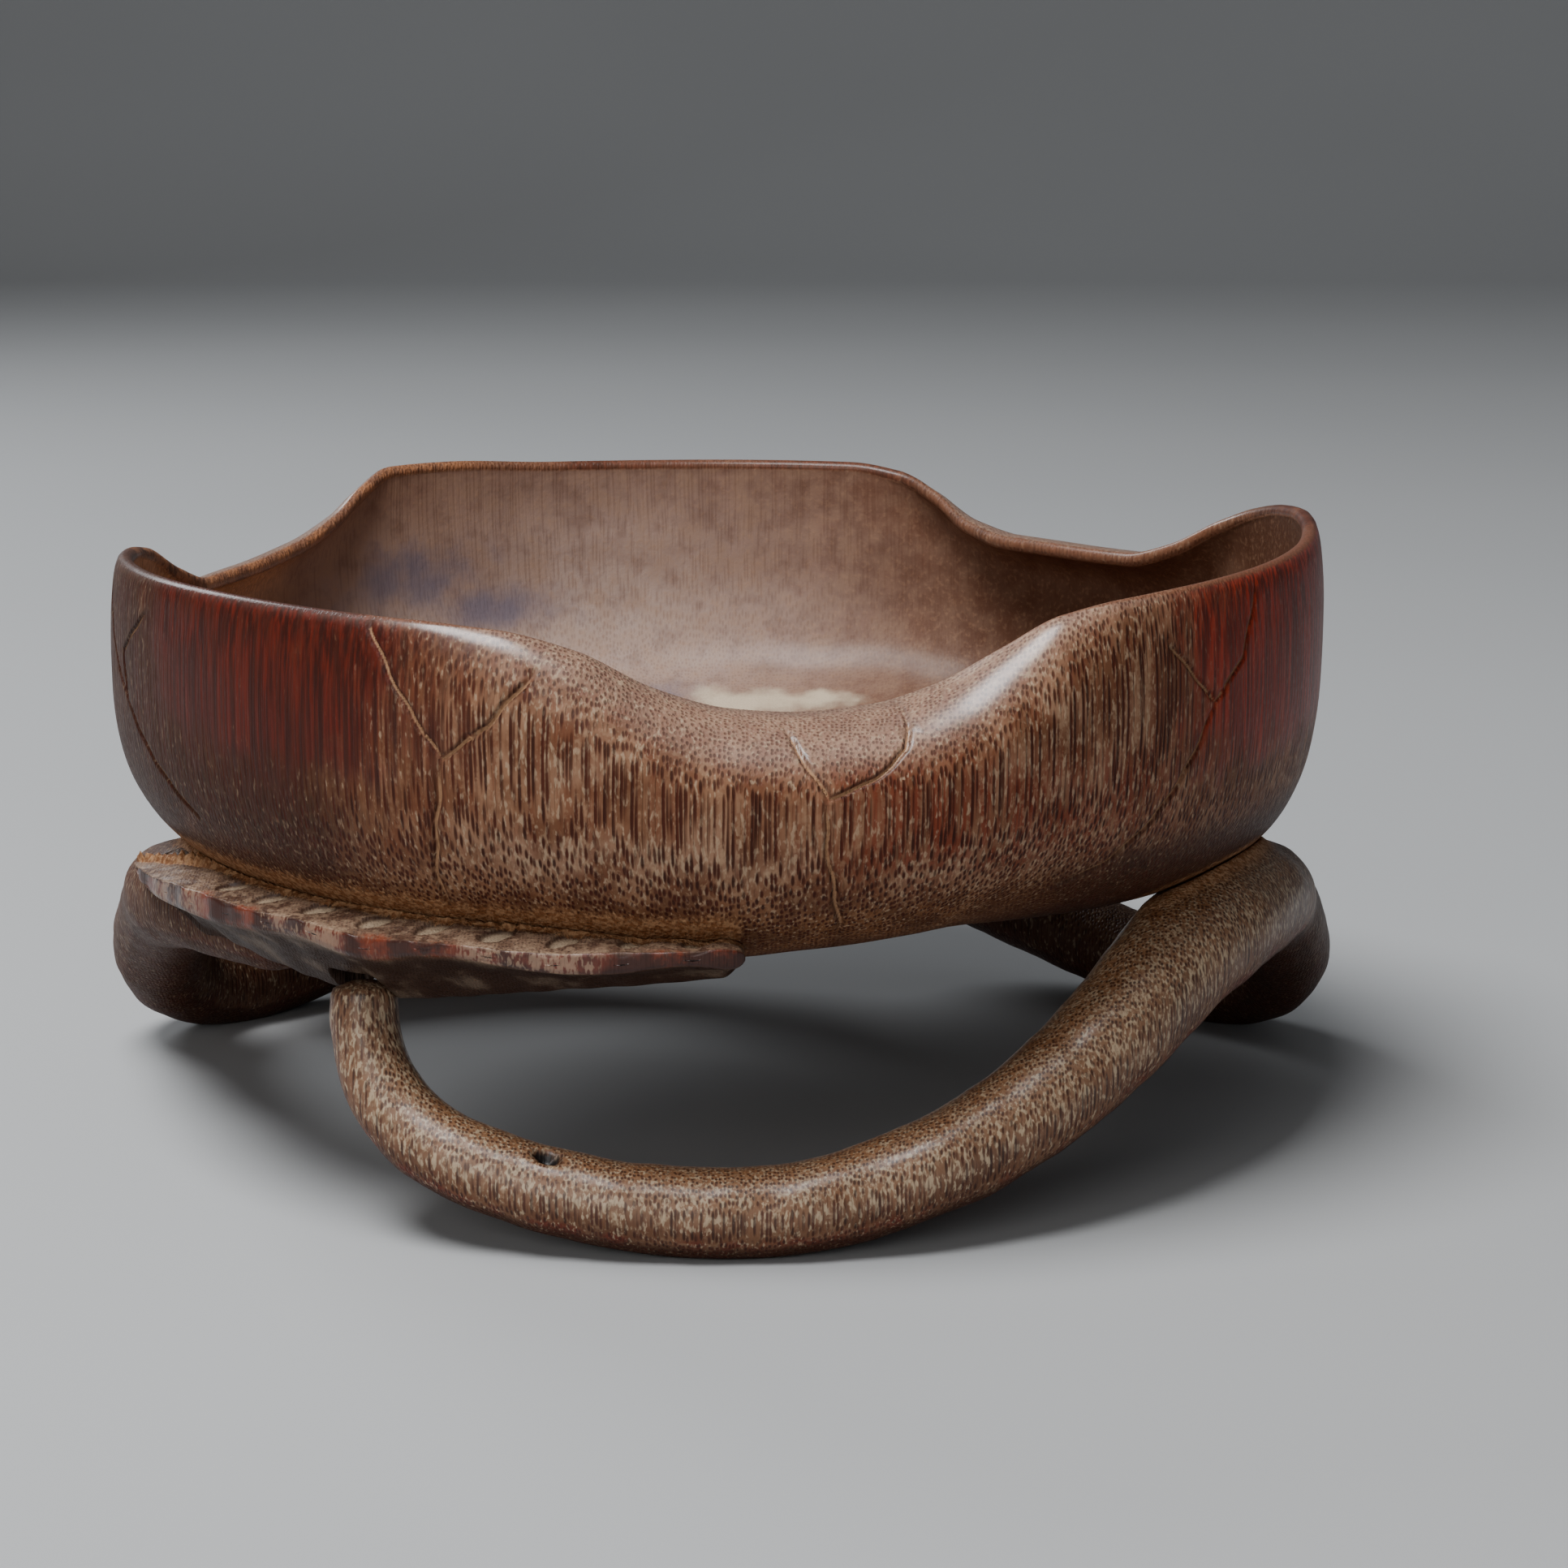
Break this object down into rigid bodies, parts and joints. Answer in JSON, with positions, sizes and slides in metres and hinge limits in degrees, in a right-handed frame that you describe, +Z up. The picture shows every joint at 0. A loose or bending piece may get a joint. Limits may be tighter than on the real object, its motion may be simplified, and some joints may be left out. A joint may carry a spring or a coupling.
{
  "type": "carved bamboo bowl",
  "caption": "Shallow round bowl carved like a lotus leaf, with a wavy folded rim, standing on curling stems with a small curled leaf at the front.",
  "frame": {"origin": "on the ground, under the middle of the cup", "axes": "+Z up, -Y towards the front, where the rim's widest fold and the long stem's front foot are, +X to the right"},
  "size_m": [0.1962, 0.1829, 0.0907],
  "materials": {
    "cup_bamboo": "old carved bamboo, waxed and handled to a deep reddish brown, with dark fibres",
    "stem_bamboo": "old carved bamboo, rubbed paler on top, reddish brown below",
    "leaf_bamboo": "old carved bamboo, dark and dry, worn red along its lip",
    "peg_bamboo": "plain split bamboo, unfinished"
  },
  "bodies": {
    "root": {"cup": "cup_bamboo", "long_stem": "stem_bamboo", "short_stem": "stem_bamboo", "curled_leaf": "leaf_bamboo", "long_stem_peg_1": "peg_bamboo", "long_stem_peg_2": "peg_bamboo", "long_stem_peg_3": "peg_bamboo", "short_stem_peg_1": "peg_bamboo", "short_stem_peg_2": "peg_bamboo", "curled_leaf_peg_1": "peg_bamboo", "curled_leaf_peg_2": "peg_bamboo"}
  },
  "joints": []
}
